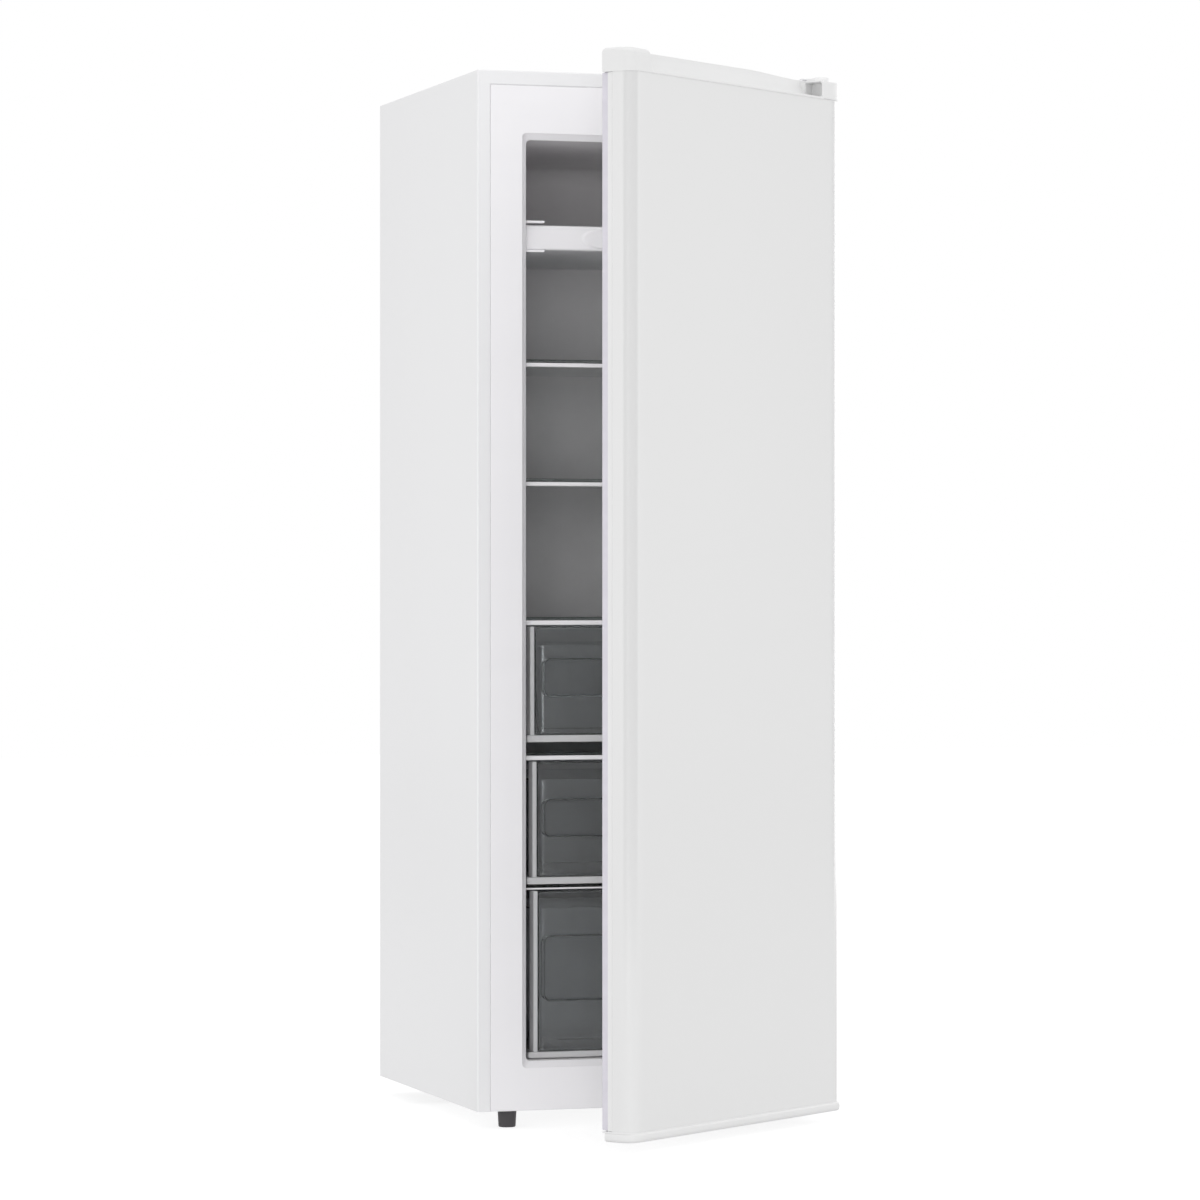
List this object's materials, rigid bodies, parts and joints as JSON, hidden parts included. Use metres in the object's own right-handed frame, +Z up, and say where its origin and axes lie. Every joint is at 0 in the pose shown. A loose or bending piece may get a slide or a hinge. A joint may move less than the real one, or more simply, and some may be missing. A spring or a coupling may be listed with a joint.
{
  "type": "upright freezer",
  "caption": "Upright freezer with a side-hung door, foam-filled cabinet, glass shelves, a pull-out top tray and clear-fronted drawers, with its cooling circuit and feet",
  "frame": {"origin": "on the floor under the middle of the cabinet's footprint, without the door", "axes": "+Z up, +X to the right as seen from the front, -Y out of the front"},
  "size_m": [0.5022, 0.8452, 1.4285],
  "materials": {
    "enamel": "satin white enamel",
    "white_plastic": "moulded white plastic",
    "liner_plastic": "vacuum-formed white plastic sheet, seen in shade",
    "foam": "rigid foam, hidden",
    "zinc_sheet": "zinc-coated sheet steel",
    "screw_steel": "zinc-plated screws",
    "black_shell": "satin black paint",
    "black_rubber": "matt rubber",
    "dark_plastic": "moulded dark grey plastic",
    "copper": "bare copper tube",
    "aluminium": "bare aluminium tube, hidden",
    "glass": "clear toughened glass",
    "clear_plastic": "clear moulded plastic with frosted bands",
    "gasket": "soft pale seal",
    "magnet": "magnetic strip inside the seal, hidden"
  },
  "bodies": {
    "cabinet": {"outer_shell": "enamel", "front_frame": "white_plastic", "inner_liner": "liner_plastic", "cabinet_insulation": "foam", "back_panel": "zinc_sheet", "base_pan": "enamel", "bay_lining": "zinc_sheet", "rear_cover": "zinc_sheet", "panel_screws": "screw_steel", "compressor_base": "zinc_sheet", "compressor": "black_shell", "compressor_grommets": "black_rubber", "compressor_bolts": "screw_steel", "relay_cover": "dark_plastic", "filter_drier": "copper", "discharge_tube": "copper", "suction_tube": "copper", "condenser_coil": "copper", "evaporator_coil": "aluminium", "thermostat": "white_plastic", "cord_gland": "dark_plastic", "rear_foot_left": "dark_plastic", "rear_foot_right": "dark_plastic", "hinge_plate_top": "enamel", "hinge_cover": "white_plastic", "top_hinge_screws": "screw_steel", "hinge_plate_bottom": "enamel", "bottom_hinge_screws": "screw_steel", "tray_rail_left": "white_plastic", "tray_rail_right": "white_plastic", "drawer_rails": "liner_plastic", "shelf_supports": "liner_plastic", "shelf_pane_1": "glass", "shelf_trim_1": "white_plastic", "shelf_pane_2": "glass", "shelf_trim_2": "white_plastic", "shelf_pane_3": "glass", "shelf_trim_3": "white_plastic", "shelf_pane_4": "glass", "shelf_trim_4": "white_plastic", "shelf_pane_5": "glass", "shelf_trim_5": "white_plastic"},
    "door": {"door_skin": "enamel", "door_cap_top": "white_plastic", "door_cap_bottom": "white_plastic", "door_insulation": "foam", "door_liner": "white_plastic", "door_gasket": "gasket", "gasket_magnets": "magnet", "hinge_bushings": "dark_plastic"},
    "top_tray": {"top_tray": "white_plastic"},
    "drawer_1": {"drawer_bin_1": "clear_plastic", "drawer_front_1": "clear_plastic"},
    "drawer_2": {"drawer_bin_2": "clear_plastic", "drawer_front_2": "clear_plastic"},
    "drawer_3": {"drawer_bin_3": "clear_plastic", "drawer_front_3": "clear_plastic"},
    "front_foot_left": {"front_foot_left": "dark_plastic"},
    "front_foot_right": {"front_foot_right": "dark_plastic"},
    "thermostat_knob": {"thermostat_knob": "white_plastic"}
  },
  "joints": [
    {"name": "door_hinge", "type": "hinge", "parent": "cabinet", "child": "door", "pos_m": [0.233, -0.289, 0.724], "axis": [0, 0, 1], "range_deg": [-37, 93]},
    {"name": "tray_slide", "type": "slide", "parent": "cabinet", "child": "top_tray", "axis": [0, -1, 0], "range_m": [-0.0402, 0.101]},
    {"name": "drawer_1_slide", "type": "slide", "parent": "cabinet", "child": "drawer_1", "axis": [0, -1, 0], "range_m": [-0.0402, 0.101]},
    {"name": "drawer_2_slide", "type": "slide", "parent": "cabinet", "child": "drawer_2", "axis": [0, -1, 0], "range_m": [-0.0402, 0.101]},
    {"name": "drawer_3_slide", "type": "slide", "parent": "cabinet", "child": "drawer_3", "axis": [0, -1, 0], "range_m": [-0.0402, 0.101]},
    {"name": "left_foot_screw", "type": "hinge", "parent": "cabinet", "child": "front_foot_left", "pos_m": [-0.195, -0.225, 0.02], "axis": [0, 0, 1], "continuous": true},
    {"name": "right_foot_screw", "type": "hinge", "parent": "cabinet", "child": "front_foot_right", "pos_m": [0.195, -0.225, 0.02], "axis": [0, 0, 1], "continuous": true},
    {"name": "thermostat_turn", "type": "hinge", "parent": "cabinet", "child": "thermostat_knob", "pos_m": [0.17, 0.25, 0.184], "axis": [0, -1, 0], "range_deg": [0, 270]}
  ],
  "couplings": [
    {"joint": "tray_slide", "follows": "door_hinge", "m_per_rad": 0.062},
    {"joint": "drawer_1_slide", "follows": "door_hinge", "m_per_rad": 0.062},
    {"joint": "drawer_2_slide", "follows": "door_hinge", "m_per_rad": 0.062},
    {"joint": "drawer_3_slide", "follows": "door_hinge", "m_per_rad": 0.062}
  ]
}
